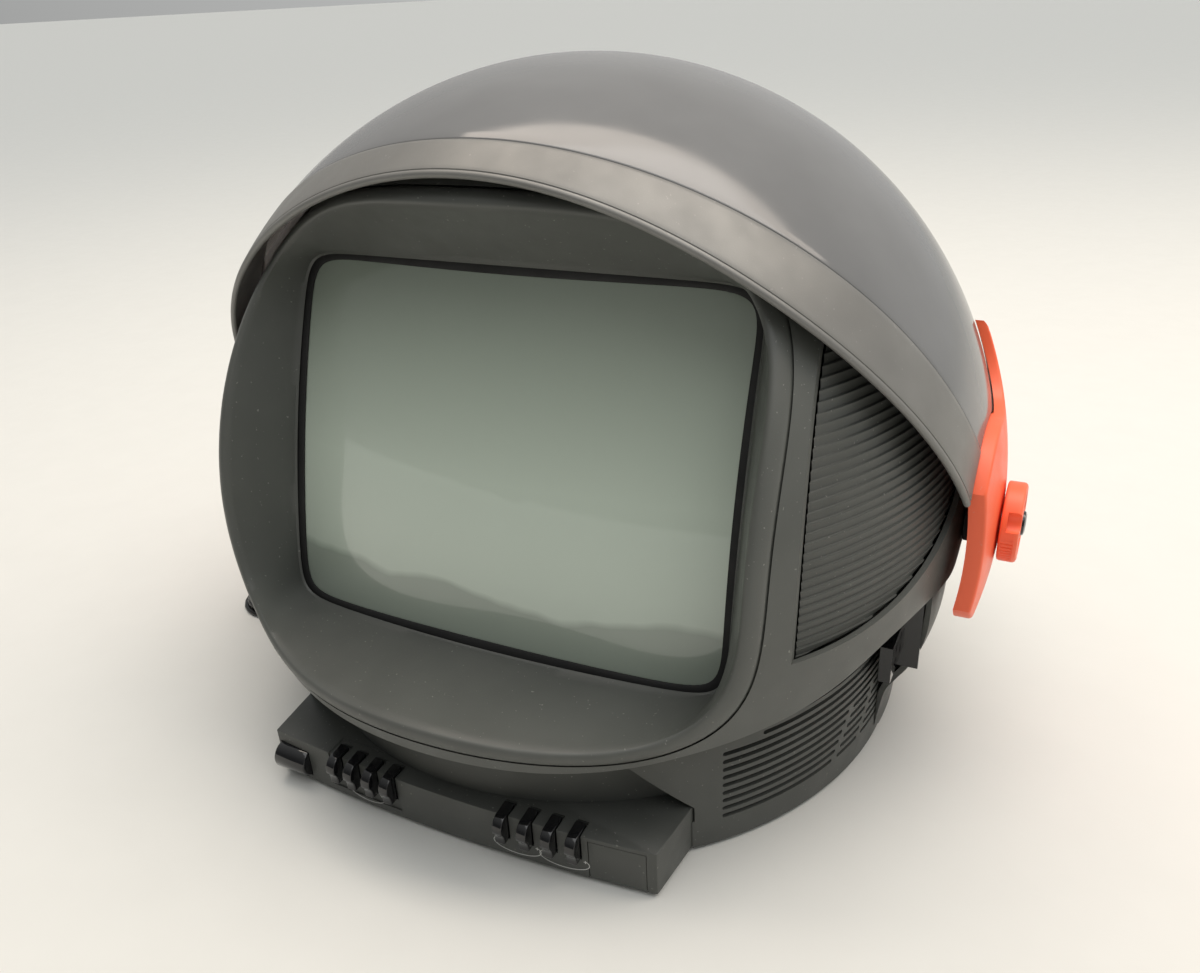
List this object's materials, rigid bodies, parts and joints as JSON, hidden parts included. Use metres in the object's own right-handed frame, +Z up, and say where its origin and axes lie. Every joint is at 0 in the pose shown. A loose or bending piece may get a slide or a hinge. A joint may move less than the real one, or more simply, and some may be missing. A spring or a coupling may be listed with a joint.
{
  "type": "portable television",
  "caption": "Portable television with a ball-shaped head, a smoked swing-up visor on orange hinges and a round louvred base.",
  "frame": {"origin": "centre of the base's rest face, at the height of the table", "axes": "+Z up, +X to the right seen from the front, -Y towards the viewer; the hinge axis is along X"},
  "size_m": [0.5615, 0.4826, 0.3964],
  "materials": {
    "shell": "fine satin texture, anthracite",
    "shell_dark": "fine satin texture, darker anthracite",
    "smoke_clear": "smoked clear moulding, high gloss",
    "visor_grey": "pearl grey paint",
    "orange": "satin orange moulding",
    "gloss_black": "high gloss",
    "rubber": "matt",
    "screen_glass": "grey-green tube face, polished",
    "tube_glass": "dark coated glass",
    "steel": "zinc plated",
    "copper": "varnished copper winding",
    "circuit_board": "lacquered board",
    "dark_plastic": "dull black",
    "cord_black": "soft matt vinyl"
  },
  "bodies": {
    "chassis": {"front_cabinet": "shell", "rear_cabinet": "shell", "neck_cover": "shell_dark", "side_grille_left": "shell_dark", "side_grille_right": "shell_dark", "rear_screw_left": "steel", "rear_screw_right": "steel", "front_bezel": "shell", "screen_gasket": "rubber", "picture_tube_face": "screen_glass", "picture_tube_cone": "tube_glass", "tube_rim_band": "steel", "deflection_yoke": "copper", "neck_board": "circuit_board", "hinge_bush_left": "steel", "hinge_bush_right": "steel", "friction_washer_left": "rubber", "friction_washer_right": "rubber", "hinge_bolt_left": "steel", "hinge_bolt_right": "steel", "base_drum": "shell_dark", "base_plate": "shell_dark", "foot_rear_right": "rubber", "foot_rear_left": "rubber", "foot_front_left": "rubber", "foot_front_right": "rubber", "rear_cover": "shell_dark", "socket_plate": "gloss_black", "aerial_socket": "steel", "audio_socket": "steel", "side_jack_panel_left": "gloss_black", "side_jack_panel_right": "gloss_black", "control_bar": "shell", "infrared_window": "gloss_black", "main_board": "circuit_board", "flyback_transformer": "dark_plastic", "tuner_box": "steel", "speaker_left": "dark_plastic", "speaker_right": "dark_plastic", "strain_relief": "rubber", "mains_cord": "cord_black", "mains_cord_coil": "cord_black", "mains_plug": "cord_black"},
    "visor": {"visor_dome": "smoke_clear", "visor_band": "visor_grey", "hinge_cover_left": "orange", "hinge_cover_right": "orange"},
    "knob_left": {"hinge_knob_left": "orange", "knob_cap_left": "gloss_black"},
    "knob_right": {"hinge_knob_right": "orange", "knob_cap_right": "gloss_black"},
    "power": {"power_button": "shell"},
    "key_1_body": {"key_1": "gloss_black"},
    "key_2_body": {"key_2": "gloss_black"},
    "key_3_body": {"key_3": "gloss_black"},
    "key_4_body": {"key_4": "gloss_black"},
    "key_5_body": {"key_5": "gloss_black"},
    "key_6_body": {"key_6": "gloss_black"},
    "key_7_body": {"key_7": "gloss_black"},
    "key_8_body": {"key_8": "gloss_black"}
  },
  "joints": [
    {"name": "visor_tilt", "type": "hinge", "parent": "chassis", "child": "visor", "pos_m": [0, 0.012, 0.148], "axis": [1, 0, 0], "range_deg": [0, 83]},
    {"name": "knob_left_turn", "type": "hinge", "parent": "chassis", "child": "knob_left", "pos_m": [0, 0.012, 0.148], "axis": [1, 0, 0], "range_deg": [-90, 90]},
    {"name": "knob_right_turn", "type": "hinge", "parent": "chassis", "child": "knob_right", "pos_m": [0, 0.012, 0.148], "axis": [1, 0, 0], "range_deg": [-90, 90]},
    {"name": "key_1_press", "type": "slide", "parent": "chassis", "child": "key_1_body", "axis": [0, 1, 0], "range_m": [0, 0.002], "stiffness_N_per_m": 400, "springref_m": -0.0005},
    {"name": "key_2_press", "type": "slide", "parent": "chassis", "child": "key_2_body", "axis": [0, 1, 0], "range_m": [0, 0.002], "stiffness_N_per_m": 400, "springref_m": -0.0005},
    {"name": "key_3_press", "type": "slide", "parent": "chassis", "child": "key_3_body", "axis": [0, 1, 0], "range_m": [0, 0.002], "stiffness_N_per_m": 400, "springref_m": -0.0005},
    {"name": "key_4_press", "type": "slide", "parent": "chassis", "child": "key_4_body", "axis": [0, 1, 0], "range_m": [0, 0.002], "stiffness_N_per_m": 400, "springref_m": -0.0005},
    {"name": "key_5_press", "type": "slide", "parent": "chassis", "child": "key_5_body", "axis": [0, 1, 0], "range_m": [0, 0.002], "stiffness_N_per_m": 400, "springref_m": -0.0005},
    {"name": "key_6_press", "type": "slide", "parent": "chassis", "child": "key_6_body", "axis": [0, 1, 0], "range_m": [0, 0.002], "stiffness_N_per_m": 400, "springref_m": -0.0005},
    {"name": "key_7_press", "type": "slide", "parent": "chassis", "child": "key_7_body", "axis": [0, 1, 0], "range_m": [0, 0.002], "stiffness_N_per_m": 400, "springref_m": -0.0005},
    {"name": "key_8_press", "type": "slide", "parent": "chassis", "child": "key_8_body", "axis": [0, 1, 0], "range_m": [0, 0.002], "stiffness_N_per_m": 400, "springref_m": -0.0005},
    {"name": "power_press", "type": "slide", "parent": "chassis", "child": "power", "axis": [0, 1, 0], "range_m": [0, 0.004], "stiffness_N_per_m": 350, "springref_m": -0.001}
  ]
}
